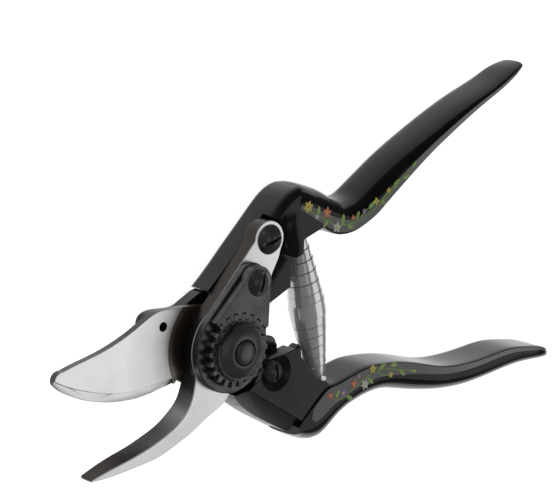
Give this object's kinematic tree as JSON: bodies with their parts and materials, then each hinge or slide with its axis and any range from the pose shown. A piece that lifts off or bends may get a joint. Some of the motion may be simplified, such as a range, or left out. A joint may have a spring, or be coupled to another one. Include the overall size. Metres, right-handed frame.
{
  "type": "pruning shears",
  "caption": "Bypass pruning shears: hooked counter-blade and curved cutting blade turning on a toothed-nut pivot, sprung open, with thumb catch and slim curved grips.",
  "frame": {"origin": "on the pivot axis, at the flat outer face of the bolt's head, with the shears fully open and lying nut side up", "axes": "+X along the tool from the blades to the handles, +Y from the blade handle to the hook handle, +Z along the pivot from the bolt's head to the nut"},
  "size_m": [0.208, 0.1086, 0.0243],
  "materials": {
    "satin_black": "satin",
    "gloss_black": "gloss coated",
    "decor_strip": "grey strip with a printed vine",
    "ground_steel": "satin ground",
    "hook_steel": "satin ground",
    "gunmetal": "blackened, satin",
    "plain_steel": "turned",
    "spring_chrome": "bright",
    "bush_bronze": "turned",
    "black_rubber": "moulded"
  },
  "bodies": {
    "hook_side": {"upper_handle": "satin_black", "upper_grip": "gloss_black", "upper_strip": "decor_strip", "hook_blade": "hook_steel", "lock_plate": "gunmetal", "toothed_segment": "gunmetal", "segment_screw": "gunmetal", "hook_screw": "gunmetal", "adjusting_nut": "gunmetal", "centre_bolt": "gunmetal", "slide_washer": "plain_steel", "upper_stud": "plain_steel", "spring": "spring_chrome"},
    "blade_side": {"lower_handle": "satin_black", "lower_grip": "gloss_black", "lower_strip": "decor_strip", "cutting_blade": "ground_steel", "pivot_bush": "bush_bronze", "front_dowel": "plain_steel", "rear_dowel": "plain_steel", "cushion": "black_rubber", "lower_stud": "plain_steel", "catch_screw": "gunmetal", "catch_washer": "plain_steel"},
    "catch": {"thumb_catch": "gloss_black"}
  },
  "joints": [
    {"name": "blade_pivot", "type": "hinge", "parent": "hook_side", "child": "blade_side", "pos_m": [0, 0, 0.0075], "axis": [0, 0, 1], "range_deg": [0, 28], "stiffness_Nm_per_rad": 1.1, "springref_deg": -18.33, "deforming": ["spring"]},
    {"name": "catch_turn", "type": "hinge", "parent": "blade_side", "child": "catch", "pos_m": [0.0166, -0.0158, 0.00645], "axis": [0, 0, 1], "range_deg": [0, 45]}
  ]
}
